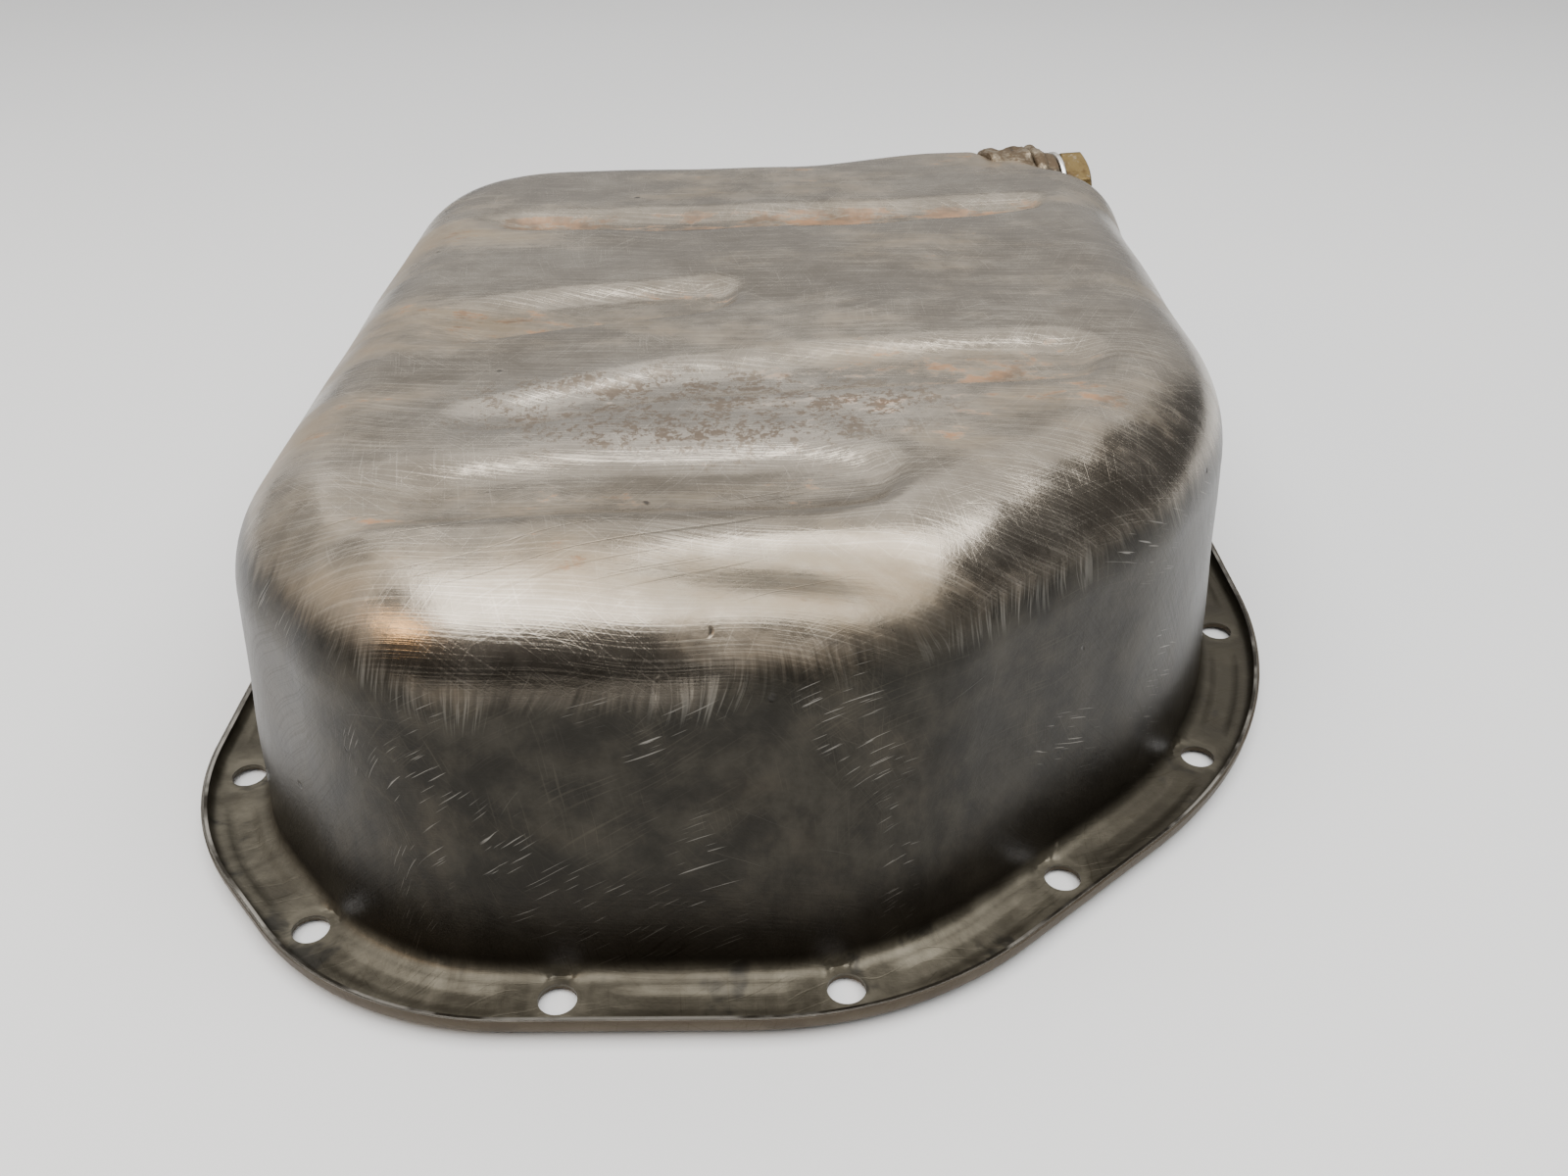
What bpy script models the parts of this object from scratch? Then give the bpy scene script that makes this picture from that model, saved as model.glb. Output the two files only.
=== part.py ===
"""Pressed-steel engine oil pan (lower sump) with a screwed drain plug.

The pan stands flange down, as it lies on a bench: the gasket side is at Z = 0, the
bottom of the sump faces +Z, the front edge is at -Y and the drain plug is at the
rear right corner. The origin is the centre of the pan's box, at the bottom.
"""

from math import atan2, cos, pi, radians, sin, sqrt, tan

import bmesh
import bpy
from mathutils import Matrix, Vector

MM = 0.001

# Sheet and flange, in millimetres
SHEET = 1.2                  # thickness of the steel sheet
PAN_WIDTH = 236.6            # over the flange lip, along X
PAN_LENGTH = 286.0           # over the flange lip, along Y
BEAD_DEPTH = 0.8             # how far a gasket bead stands below the flange
LIP_HEIGHT = 5.0             # top of the upturned lip above the gasket face
BOLT_COUNT = 17
BOLT_HOLE_RADIUS = 3.5       # clear hole for an M6 bolt
BOLT_INSET = 7.8             # bolt circle, inside the outer edge
FRONT_PITCH = 50.9           # straight pitch of the seven holes round the front
BOLT_START_X = 14.3          # X of the hole right of the middle of the front edge

# Bowl
WALL_INSET = 13.5            # foot of the wall, inside the outer edge
WALL_DRAFT = radians(4.0)
FOOT_RADIUS = 2.6            # fillet between flange and wall
DEPTH = 79.5                 # sump bottom above the gasket face, at X = 0
DEPTH_SLOPE = 0.0195         # rise of the sump bottom towards the drain, along +X
SHOULDER_RADIUS = 24.0
POCKET_RADIUS = 10.0         # tight shoulder along the rear edge, over the bung
POCKET_X = (6.0, 50.0, 60.0, 70.0)   # where that starts, is full, ends and is gone
CORNER_RADIUS = 19.0         # shoulder round the rear right corner
CORNER_Y = (68.0, 92.0)      # where the right-hand shoulder tightens towards it
GROOVE_DEPTH = 2.5

# Corners of the outer edge: X, Y and radius, counter-clockwise from the rear left
HALF_W = PAN_WIDTH / 2
HALF_L = PAN_LENGTH / 2
CORNERS = (
    (-HALF_W, HALF_L, 61.0),
    (-HALF_W, -90.7, 64.0),
    (-74.2, -HALF_L, 64.0),
    (26.2, -HALF_L, 77.0),
    (HALF_W, -63.9, 117.0),
    (HALF_W, HALF_L, 58.0),
)

# Stiffening grooves in the sump bottom: one end, other end and width
GROOVES = (
    ((-74.0, 60.5), (66.0, 67.0), 13.0),
    ((-64.0, -11.0), (-20.0, 1.5), 19.0),
    ((-46.0, -49.5), (56.0, -35.5), 19.0),
    ((-64.0, -89.0), (6.0, -85.5), 19.0),
)

# Drain: a bung through a recess in the rear right corner, its washer and its plug
SEAT = Vector((85.0, 115.5, 69.5))       # middle of the bung's outer face
DRAIN_ANGLE = radians(12.0)              # the drain axis, turned from +X towards +Y
FIT_GAP = 0.3                            # left between pieces that touch
BUNG_RADIUS = 13.2
BUNG_LENGTH = 21.0
BUNG_BORE_RADIUS = 7.0
COLLAR_RADIUS = 10.8                     # the bung's outer end, outside the sheet
COLLAR_LENGTH = 7.5
RECESS_DEPTH = 6.0                       # recess wall, behind the seat
RECESS_SIDE = 14.0                       # near wall and floor, from the drain axis
RECESS_ROUNDING = 7.0
RECESS_REACH = 60.0                      # far enough to leave the pan on both sides
WASHER_RADII = (7.3, 11.0)
WASHER_THICKNESS = 1.5
PLUG_SHANK_RADIUS = 6.7
PLUG_SHANK_LENGTH = 16.0
PLUG_FLATS = 19.0                        # across the flats of the hexagon
PLUG_HEAD_HEIGHT = 8.0
PLUG_CHAMFER = 1.0

# Places along one bolt pitch where the edge has a vertex, and how far the gasket
# bead is pressed down there
PITCH_STEPS = ((0.0, 0.0), (0.16, 0.0), (0.29, 1.0), (0.5, 1.0), (0.71, 1.0), (0.84, 0.0))
SHOULDER_STEPS = 5


# ---------------------------------------------------------------- outline

def edge_pieces(inset):
    """The outer edge moved inwards: a list of (length, point function)."""
    arcs = []
    count = len(CORNERS)
    for i, (x, y, radius) in enumerate(CORNERS):
        before = Vector(CORNERS[i - 1][:2])
        here = Vector((x, y))
        after = Vector(CORNERS[(i + 1) % count][:2])
        way_in = (here - before).normalized()
        way_out = (after - here).normalized()
        normal_in = Vector((way_in.y, -way_in.x))
        normal_out = Vector((way_out.y, -way_out.x))
        middle = (normal_in + normal_out).normalized()
        centre = here - middle * (radius / middle.dot(normal_in))
        start = atan2(normal_in.y, normal_in.x)
        sweep = (atan2(normal_out.y, normal_out.x) - start) % (2 * pi)
        arcs.append((centre, radius - inset, start, sweep))
    pieces = []
    for i, (centre, radius, start, sweep) in enumerate(arcs):
        pieces.append(("arc", radius * sweep, centre, radius, start, sweep))
        end = centre + radius * Vector((cos(start + sweep), sin(start + sweep)))
        nxt = arcs[(i + 1) % count]
        begin = nxt[0] + nxt[1] * Vector((cos(nxt[2]), sin(nxt[2])))
        pieces.append(("line", (begin - end).length, end, begin, start + sweep))
    return pieces


def edge_length(inset):
    return sum(piece[1] for piece in edge_pieces(inset))


def edge_point(pieces, distance):
    """The point at a distance along the edge, and the outward direction there."""
    distance %= sum(piece[1] for piece in pieces)
    for piece in pieces:
        if distance <= piece[1]:
            break
        distance -= piece[1]
    share = distance / piece[1]
    if piece[0] == "arc":
        _, _, centre, radius, start, sweep = piece
        angle = start + share * sweep
        outward = Vector((cos(angle), sin(angle)))
        return centre + radius * outward, outward
    _, _, begin, end, angle = piece
    return begin.lerp(end, share), Vector((cos(angle), sin(angle)))


def bolt_start():
    """Distance along the bolt line of the hole at BOLT_START_X on the front edge."""
    pieces = edge_pieces(BOLT_INSET)
    walked = 0.0
    for piece in pieces:
        on_front = piece[0] == "line" and abs(piece[2].y + HALF_L - BOLT_INSET) < 0.01
        if on_front:
            return walked + BOLT_START_X - piece[2].x
        walked += piece[1]
    raise ValueError("the outline has no straight front edge")


def bolt_distances():
    """Distances of the holes along the bolt line: two straight pitches, front and rear."""
    pieces = edge_pieces(BOLT_INSET)
    total = edge_length(BOLT_INSET)
    start = bolt_start()

    def next_hole(distance, pitch):
        here = edge_point(pieces, distance)[0]
        low, high = distance, distance + 1.5 * pitch
        for _ in range(40):
            middle = (low + high) / 2
            if (edge_point(pieces, middle)[0] - here).length < pitch:
                low = middle
            else:
                high = middle
        return low

    low, high = 0.8 * total / BOLT_COUNT, total / BOLT_COUNT
    for _ in range(40):
        pitch = (low + high) / 2
        distances = [start]
        for step in range(BOLT_COUNT):
            in_front = step < 3 or step >= BOLT_COUNT - 3
            distances.append(next_hole(distances[-1], FRONT_PITCH if in_front else pitch))
        if distances[-1] < start + total:
            low = pitch
        else:
            high = pitch
    return distances[:-1]


def edge_stations():
    """(point on the bolt line, outward direction, bead) all the way round."""
    pieces = edge_pieces(BOLT_INSET)
    distances = bolt_distances()
    ends = distances[1:] + [distances[0] + edge_length(BOLT_INSET)]
    stations = []
    for begin, end in zip(distances, ends):
        for share, bead in PITCH_STEPS:
            point, outward = edge_point(pieces, begin + share * (end - begin))
            stations.append((point, outward, bead))
    return stations


# ---------------------------------------------------------------- heights

def smooth(low, high, value):
    share = min(max((value - low) / (high - low), 0.0), 1.0)
    return share * share * (3 - 2 * share)


def bottom_height(x):
    """Outer face of the sump bottom, which slopes up towards the drain side."""
    return DEPTH + DEPTH_SLOPE * x


def shoulder_radius(x, y):
    """Rounded shoulder, drawn tighter where the drain is."""
    begin, full, end, gone = POCKET_X
    pocket = smooth(begin, full, x) * (1 - smooth(end, gone, x)) * (y > 0)
    corner = smooth(end, gone, x) * smooth(*CORNER_Y, y)
    return (SHOULDER_RADIUS + (POCKET_RADIUS - SHOULDER_RADIUS) * pocket
            + (CORNER_RADIUS - SHOULDER_RADIUS) * corner)


# ---------------------------------------------------------------- meshes

def add_material(name, colour, metallic, roughness):
    material = bpy.data.materials.new(name)
    material.use_nodes = True
    shader = material.node_tree.nodes["Principled BSDF"]
    shader.inputs["Base Color"].default_value = (*colour, 1.0)
    shader.inputs["Metallic"].default_value = metallic
    shader.inputs["Roughness"].default_value = roughness
    material.diffuse_color = (*colour, 1.0)
    return material


def add_object(name, bm, collection, material=None):
    mesh = bpy.data.meshes.new(name)
    bm.to_mesh(mesh)
    bm.free()
    obj = bpy.data.objects.new(name, mesh)
    collection.objects.link(obj)
    if material:
        mesh.materials.append(material)
    return obj


def add_cutter(name, bm, collection):
    cutter = add_object(name, bm, collection)
    cutter.hide_render = True
    cutter.display_type = 'WIRE'
    return cutter


def add_boolean(obj, cutter, operation):
    modifier = obj.modifiers.new(cutter.name, 'BOOLEAN')
    modifier.operation = operation
    modifier.solver = 'EXACT'
    modifier.object = cutter
    return modifier


def add_cylinder(bm, radius, length, matrix, sides):
    bmesh.ops.create_cone(bm, cap_ends=True, segments=sides, radius1=radius * MM,
                          radius2=radius * MM, depth=length * MM, matrix=matrix)


def drain_matrix(offset):
    """A frame on the drain axis whose Z points outwards, at an offset from the seat."""
    axis = Vector((cos(DRAIN_ANGLE), sin(DRAIN_ANGLE), 0.0))
    turn = axis.to_track_quat('Z', 'Y').to_matrix().to_4x4()
    return Matrix.Translation((SEAT + axis * offset) * MM) @ turn


def flange_profile(bead):
    """Upper face of lip, flange and foot fillet: (inset, height) from the lip inwards."""
    top = BEAD_DEPTH + SHEET
    low = top - BEAD_DEPTH * bead
    centre_inset = WALL_INSET - FOOT_RADIUS
    profile = [(SHEET, LIP_HEIGHT), (SHEET + 0.1, top + 1.4), (SHEET + 0.6, top + 0.4),
               (SHEET + 1.7, top), (4.1, top), (5.1, low), (9.6, low)]
    for angle in (0.0, 45.0, 90.0):
        turn = radians(angle)
        profile.append((centre_inset + FOOT_RADIUS * sin(turn),
                        top + FOOT_RADIUS * (1 - cos(turn))))
    return profile


def pan_rings():
    """Rings of vertices of the pan's outer skin, from the lip to the sump bottom."""
    columns = []
    for point, outward, bead in edge_stations():
        edge = point + outward * BOLT_INSET
        column = [(edge - outward * inset, height) for inset, height in flange_profile(bead)]
        foot_height = column[-1][1]
        wall_foot = edge - outward * WALL_INSET
        radius = shoulder_radius(wall_foot.x, wall_foot.y)
        rise = bottom_height(wall_foot.x) - radius - foot_height
        shoulder_inset = WALL_INSET + tan(WALL_DRAFT) * rise
        for step in range(SHOULDER_STEPS + 1):
            turn = pi / 2 * step / SHOULDER_STEPS
            inset = shoulder_inset + radius * (1 - cos(turn))
            place = edge - outward * inset
            column.append((place, bottom_height(place.x) - radius * (1 - sin(turn))))
        columns.append(column)
    return [[Vector((place.x, place.y, height)) * MM for place, height in ring]
            for ring in zip(*columns)]


def pan_skin(first_ring=0):
    """The outer skin as one open surface, which Solidify then thickens inwards."""
    bm = bmesh.new()
    rings = [[bm.verts.new(point) for point in ring] for ring in pan_rings()[first_ring:]]
    count = len(rings[0])
    for outer, inner in zip(rings, rings[1:]):
        for i in range(count):
            j = (i + 1) % count
            bm.faces.new((outer[i], outer[j], inner[j], inner[i]))
    bm.faces.new(rings[-1])
    return bm


def pan_volume():
    """The space within the middle of the sheet, from the foot of the wall upwards."""
    bm = pan_skin(len(flange_profile(0.0)) - 1)
    bm.normal_update()
    normals = [vert.normal.copy() for vert in bm.verts]
    for vert, normal in zip(bm.verts, normals):
        vert.co -= normal * SHEET / 2 * MM
    bmesh.ops.contextual_create(bm, geom=[edge for edge in bm.edges if edge.is_boundary])
    bmesh.ops.recalc_face_normals(bm, faces=bm.faces)
    return bm


def recess_form(growth):
    """A rounded block that opens the pan's corner for the washer and the plug's head."""
    side = RECESS_SIDE + growth
    rounding = RECESS_ROUNDING + growth
    low = Vector((-side, -side, -RECESS_DEPTH - growth))
    high = Vector((RECESS_REACH, RECESS_REACH, RECESS_REACH))
    bm = bmesh.new()
    bmesh.ops.create_cube(bm, size=1.0)
    for vert in bm.verts:
        vert.co = Vector([high[i] if vert.co[i] > 0 else low[i] for i in range(3)])
    rounded = [edge for edge in bm.edges
               if sum(all(vert.co[i] == low[i] for vert in edge.verts) for i in range(3)) == 2]
    bmesh.ops.bevel(bm, geom=rounded, offset=rounding, segments=3, profile=0.5,
                    affect='EDGES')
    bm.transform(drain_matrix(0.0) @ Matrix.Scale(MM, 4))
    return bm


def groove_form(bm, groove, top, bottom, growth):
    """A tapered oblong that follows the sump bottom, between two heights over it."""
    begin, end, width = groove
    along = Vector(end) - Vector(begin)
    middle = (Vector(end) + Vector(begin)) / 2
    slope = 1.2
    upper_radius = width / 2 + growth + top * slope
    lower_radius = width / 2 + growth + bottom * slope
    made = bmesh.ops.create_cone(bm, cap_ends=True, segments=16, radius1=lower_radius,
                                 radius2=upper_radius, depth=top - bottom)
    turn = Matrix.Rotation(atan2(along.y, along.x), 3, 'Z')
    for vert in made["verts"]:
        side = 1 if vert.co.x > 0 else -1
        vert.co.x += side * along.length / 2
        vert.co.z += (top + bottom) / 2
        vert.co = turn @ vert.co
        vert.co.x += middle.x
        vert.co.y += middle.y
        vert.co.z += bottom_height(vert.co.x)
        vert.co *= MM


def build_pan_shell(parts, cutters, material):
    shell = add_object("pan_shell", pan_skin(), parts, material)
    thicken = shell.modifiers.new("Sheet", 'SOLIDIFY')
    thicken.thickness = SHEET * MM
    thicken.offset = -1.0
    thicken.use_even_offset = True

    ribs = bmesh.new()
    troughs = bmesh.new()
    for groove in GROOVES:
        groove_form(ribs, groove, -SHEET / 2, -GROOVE_DEPTH - SHEET, SHEET)
        groove_form(troughs, groove, 1.0, -GROOVE_DEPTH, 0.0)
    add_boolean(shell, add_cutter("groove_ribs", ribs, cutters), 'UNION')
    add_boolean(shell, add_cutter("groove_troughs", troughs, cutters), 'DIFFERENCE')

    liner = add_cutter("recess_liner", recess_form(SHEET), cutters)
    add_boolean(liner, add_cutter("pan_volume", pan_volume(), cutters), 'INTERSECT')
    add_boolean(shell, liner, 'UNION')
    add_boolean(shell, add_cutter("recess_space", recess_form(0.0), cutters), 'DIFFERENCE')

    holes = bmesh.new()
    pieces = edge_pieces(BOLT_INSET)
    for distance in bolt_distances():
        place = edge_point(pieces, distance)[0]
        lift = Matrix.Translation(Vector((place.x, place.y, BEAD_DEPTH + SHEET / 2)) * MM)
        add_cylinder(holes, BOLT_HOLE_RADIUS, 6 * SHEET, lift, 16)
    add_boolean(shell, add_cutter("bolt_holes", holes, cutters), 'DIFFERENCE')

    opening = bmesh.new()
    add_cylinder(opening, BUNG_RADIUS + FIT_GAP, BUNG_LENGTH - COLLAR_LENGTH + 2 * FIT_GAP,
                 drain_matrix(-(BUNG_LENGTH + COLLAR_LENGTH) / 2), 32)
    add_boolean(shell, add_cutter("bung_opening", opening, cutters), 'DIFFERENCE')
    mouth = bmesh.new()
    add_cylinder(mouth, COLLAR_RADIUS + FIT_GAP, 2 * COLLAR_LENGTH, drain_matrix(0.0), 32)
    add_boolean(shell, add_cutter("bung_mouth", mouth, cutters), 'DIFFERENCE')
    return shell


def turned(name, profile, offset, sides, parts, material):
    """A closed ring-shaped profile of (radius, height) turned about the drain axis."""
    bm = bmesh.new()
    verts = [bm.verts.new((radius * MM, 0.0, height * MM)) for radius, height in profile]
    for i, vert in enumerate(verts):
        closes = profile[i][0] > 0 or profile[i - 1][0] > 0
        if closes:
            bm.edges.new((verts[i - 1], vert))
    obj = add_object(name, bm, parts, material)
    obj.matrix_world = drain_matrix(offset)
    screw = obj.modifiers.new("Turn", 'SCREW')
    screw.axis = 'Z'
    screw.steps = sides
    screw.render_steps = sides
    screw.use_merge_vertices = True
    screw.merge_threshold = 0.00001
    return obj


def build_drain_bung(parts, material):
    profile = [(COLLAR_RADIUS, -0.8), (COLLAR_RADIUS, -COLLAR_LENGTH),
               (BUNG_RADIUS, -COLLAR_LENGTH), (BUNG_RADIUS, 0.8 - BUNG_LENGTH),
               (BUNG_RADIUS - 0.8, -BUNG_LENGTH), (BUNG_BORE_RADIUS, -BUNG_LENGTH),
               (BUNG_BORE_RADIUS, 0.0), (COLLAR_RADIUS - 0.8, 0.0)]
    return turned("drain_bung", profile, 0.0, 32, parts, material)


def build_sealing_washer(parts, material):
    inner, outer = WASHER_RADII
    half = WASHER_THICKNESS / 2
    profile = [(inner, -half), (inner, half), (outer, half), (outer, -half)]
    return turned("sealing_washer", profile, FIT_GAP + half, 32, parts, material)


def build_drain_plug(parts, cutters, material):
    """A hexagon head on a plain shank: the thread's crests are the shank's surface."""
    base = 2 * FIT_GAP + WASHER_THICKNESS
    corner = PLUG_FLATS / sqrt(3)
    tip = base + PLUG_SHANK_LENGTH
    profile = [(0.0, PLUG_HEAD_HEIGHT), (PLUG_FLATS / 2 - 0.3, PLUG_HEAD_HEIGHT),
               (corner, PLUG_HEAD_HEIGHT - 2 * PLUG_CHAMFER), (corner, PLUG_CHAMFER),
               (PLUG_FLATS / 2, 0.0), (PLUG_SHANK_RADIUS, 0.0),
               (PLUG_SHANK_RADIUS, 1.2 - tip), (PLUG_SHANK_RADIUS - 1.2, -tip), (0.0, -tip)]
    plug = turned("drain_plug", profile, base, 36, parts, material)

    hexagon = bmesh.new()
    bmesh.ops.create_cone(hexagon, cap_ends=True, segments=6, radius1=corner * MM,
                          radius2=corner * MM, depth=4 * tip * MM,
                          matrix=drain_matrix(base) @ Matrix.Rotation(radians(30), 4, 'Z'))
    add_boolean(plug, add_cutter("plug_hexagon", hexagon, cutters), 'INTERSECT')
    return plug


def clear_scene():
    for obj in list(bpy.data.objects):
        bpy.data.objects.remove(obj, do_unlink=True)


def new_collection(name):
    collection = bpy.data.collections.new(name)
    bpy.context.scene.collection.children.link(collection)
    return collection


def shade(obj):
    obj.data.shade_smooth()
    obj.data.set_sharp_from_angle(angle=radians(40))


def main():
    clear_scene()
    parts = new_collection("oil_pan")
    cutters = new_collection("cutters")
    steel = add_material("pressed_steel", (0.27, 0.25, 0.22), 1.0, 0.38)
    bung_steel = add_material("brazed_steel", (0.22, 0.18, 0.13), 0.9, 0.55)
    aluminium = add_material("washer_aluminium", (0.72, 0.72, 0.70), 1.0, 0.35)
    plated = add_material("plated_steel", (0.42, 0.33, 0.17), 0.9, 0.42)
    made = (build_pan_shell(parts, cutters, steel),
            build_drain_bung(parts, bung_steel),
            build_sealing_washer(parts, aluminium),
            build_drain_plug(parts, cutters, plated))
    for obj in made:
        shade(obj)


main()
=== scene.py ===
"""A used engine oil pan: pressed steel shell, brazed drain bung, sealing washer and drain plug.

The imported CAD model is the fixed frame. Its four solids are replaced by finer surfaces worked
out with numpy in the same place, and each gets a material built from shader nodes.
Lengths inside the surface functions are in millimetres; meshes are in metres.
"""

import bpy
import numpy as np
from mathutils import Euler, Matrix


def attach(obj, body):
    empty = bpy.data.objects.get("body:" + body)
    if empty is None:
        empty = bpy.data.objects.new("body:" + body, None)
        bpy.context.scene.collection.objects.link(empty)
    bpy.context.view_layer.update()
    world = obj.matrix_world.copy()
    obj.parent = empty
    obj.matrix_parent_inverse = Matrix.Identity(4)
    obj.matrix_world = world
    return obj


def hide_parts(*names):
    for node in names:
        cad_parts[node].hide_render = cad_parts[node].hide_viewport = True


bl_info = {
    "name": "Engine oil pan",
    "version": (1, 0, 0),
    "blender": (4, 5, 0),
    "location": "3D View > Sidebar > Oil Pan",
    "description": "A used pressed steel oil pan with its drain bung, washer and plug",
    "category": "Add Mesh",
}

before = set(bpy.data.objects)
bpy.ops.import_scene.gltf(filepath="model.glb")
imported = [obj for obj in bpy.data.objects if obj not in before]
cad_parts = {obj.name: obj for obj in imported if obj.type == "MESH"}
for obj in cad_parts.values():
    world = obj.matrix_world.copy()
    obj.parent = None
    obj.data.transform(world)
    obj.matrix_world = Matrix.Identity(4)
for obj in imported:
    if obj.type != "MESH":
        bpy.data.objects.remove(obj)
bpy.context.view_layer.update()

MM = 0.001

# Outer edge of the flange: corner X, Y and radius, counter-clockwise from the rear left
CORNERS = np.array([
    (-118.3, 143.0, 61.0),
    (-118.3, -90.7, 64.0),
    (-74.2, -143.0, 64.0),
    (26.2, -143.0, 77.0),
    (118.3, -63.9, 117.0),
    (118.3, 143.0, 58.0),
])
BOLT_COUNT = 17
BOLT_INSET = 7.8
BOLT_START_X = 14.3
FRONT_PITCH = 50.9
WALL_INSET = 13.5
FOOT_RADIUS = 2.6
BEAD_DEPTH = 0.8
BOTTOM_RINGS = 41
THREAD_PITCH = 1.5
HALVINGS = 30

# Square net of mesh lines round each flange hole, in steps from the hole's middle
HOLE_RADIUS = 3.5
HOLE_RINGS = 4
NET_RINGS = 6
NET_STEP = 0.8
AWAY = 99

# Drain axis: the middle of the bung's face, and the directions out, to the rear and up
SEAT = np.array((85.0, 115.5, 69.5))
DRAIN_ANGLE = np.radians(12.0)
DRAIN_AXES = np.array((
    (np.cos(DRAIN_ANGLE), np.sin(DRAIN_ANGLE), 0.0),
    (-np.sin(DRAIN_ANGLE), np.cos(DRAIN_ANGLE), 0.0),
    (0.0, 0.0, 1.0),
))
RECESS_DEPTH = 6.0
RECESS_SIDE = 14.0
RECESS_ROUNDING = 7.0

# Grooves pressed into the sump bottom: X, Y of the middle line and half width, in mm
GROOVES = (
    ((-80, 60.1, 4.5), (-27, 60.0, 7.9), (32, 61.8, 7.6), (55, 64.3, 6.9), (74, 68.5, 4.5)),
    ((-79, -14.5, 11.5), (-43, -2.6, 11.4), (-6, 5.0, 9.6)),
    ((-66, -63.0, 5.5), (-45, -55.0, 7.6), (-21, -44.6, 8.0), (13, -38.5, 10.4), (70, -34.5, 11.3)),
    ((-80, -91.5, 9.0), (-30, -85.7, 11.2), (6, -85.6, 11.3), (24, -86.5, 8.0)),
)

# Shallow presses of the front and the bottom: X, Y, height and the widths along X and Y, in mm
DENTS = (
    (10, -111.2, -2.6, 26, 4.8), (10, -120.6, 1.6, 32, 3.6), (-50, -108, -0.5, 14, 6),
    (48, -84, 0.5, 6, 9), (62, -68, 0.5, 6, 8), (40, -98, 0.55, 5, 8), (-20, -66, 0.5, 40, 6),
    (10, 30, 0.35, 50, 14), (-30, 36, -0.35, 40, 10), (40, -8, 0.3, 40, 12),
)


# Soft lights: name, place, what they face, size, share of the full power, and colour
LIGHTS = (
    ("overhead", (0.12, -0.40, 1.15), (0.12, -0.20, 0.0), (1.95, 1.35), 1.0,
     (1.0, 0.985, 0.96)),
    ("overhead_rear", (0.0, 0.80, 1.15), (0.0, 0.0, 0.05), (2.2, 0.9), 0.155,
     (1.0, 0.985, 0.96)),
    ("rear_wall", (0.0, 1.35, 0.60), (0.0, 0.0, 0.30), (2.8, 1.0), 0.094, (1.0, 0.98, 0.95)),
    ("left_wall", (-1.4, 0.30, 0.70), (0.0, 0.0, 0.10), (2.6, 1.3), 0.130, (1.0, 0.98, 0.95)),
    ("small_lamp", (-0.90, -0.63, 0.72), (-0.06, -0.12, 0.07), (0.34, 0.16), 0.045,
     (1.0, 0.62, 0.30)),
)


# ------------------------------------------------------------------ plane geometry

def unit(vectors):
    """v / |v| for each row."""
    return vectors / np.linalg.norm(vectors, axis=-1, keepdims=True)


def smooth(low, high, value):
    """Smoothstep: 3 t^2 - 2 t^3, with t = (value - low) / (high - low) held in 0..1."""
    t = np.clip((value - low) / (high - low), 0.0, 1.0)
    return t * t * (3 - 2 * t)


def outline(inset):
    """Arcs and straights of the edge moved inwards.

    Centre of an arc = corner - m r / (m . n), with m the bisector of the two edge normals
    and n one of them. The arc's radius is r - inset.
    """
    corner, radius = CORNERS[:, :2], CORNERS[:, 2]
    way = unit(np.roll(corner, -1, axis=0) - corner)
    leaving = np.c_[way[:, 1], -way[:, 0]]
    arriving = np.roll(leaving, 1, axis=0)
    middle = unit(leaving + arriving)
    centre = corner - middle * (radius / (middle * arriving).sum(1))[:, None]
    start = np.arctan2(arriving[:, 1], arriving[:, 0])
    sweep = (np.arctan2(leaving[:, 1], leaving[:, 0]) - start) % (2 * np.pi)
    moved = radius - inset
    begin = centre + moved[:, None] * arriving
    end = centre + moved[:, None] * leaving
    straight = np.linalg.norm(np.roll(begin, -1, axis=0) - end, axis=1)
    knots = np.concatenate([[0.0], np.cumsum(np.stack([moved * sweep, straight], 1).ravel())])
    return centre, moved, start, sweep, end, way, leaving, knots


def edge(distance, inset):
    """Point and outward normal at a distance along the edge.

    On an arc the point is C + r (cos a, sin a), a = start + distance / r; on a straight it is
    the arc's end + distance along the edge.
    """
    centre, radius, start, sweep, end, way, leaving, knots = outline(inset)
    distance = np.asarray(distance, float) % knots[-1]
    piece = np.clip(np.searchsorted(knots, distance, side="right") - 1, 0, len(knots) - 2)
    corner, on_arc = piece // 2, piece % 2 == 0
    along = distance - knots[piece]
    angle = start[corner] + along / radius[corner]
    arc_normal = np.stack([np.cos(angle), np.sin(angle)], -1)
    arc_point = centre[corner] + radius[corner][..., None] * arc_normal
    line_point = end[corner] + along[..., None] * way[corner]
    return (np.where(on_arc[..., None], arc_point, line_point),
            np.where(on_arc[..., None], arc_normal, leaving[corner]))


def bolt_distances():
    """Hole places along the bolt line: one straight pitch round the front, one for the rest.

    The rear pitch is found by halving: all the steps must come back to the first hole.
    """
    knots = outline(BOLT_INSET)[-1]
    total = knots[-1]
    first = knots[5] + BOLT_START_X - edge(knots[5] + 1e-6, BOLT_INSET)[0][0]

    def following(distance, pitch):
        here = edge(distance, BOLT_INSET)[0]
        trial = distance + np.linspace(0.95, 1.15, 400) * pitch
        apart = np.linalg.norm(edge(trial, BOLT_INSET)[0] - here, axis=1)
        return float(np.interp(pitch, apart, trial))

    low, high = 0.8 * total / BOLT_COUNT, total / BOLT_COUNT
    for _ in range(HALVINGS):
        pitch = (low + high) / 2
        places = [float(first)]
        for step in range(BOLT_COUNT):
            in_front = step < 3 or step >= BOLT_COUNT - 3
            places.append(following(places[-1], FRONT_PITCH if in_front else pitch))
        if places[-1] < first + total:
            low = pitch
        else:
            high = pitch
    return np.array(places[:-1]), total


def bottom_height(x):
    """Sump bottom: z = 79.5 + 0.0195 x."""
    return 79.5 + 0.0195 * x


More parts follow.
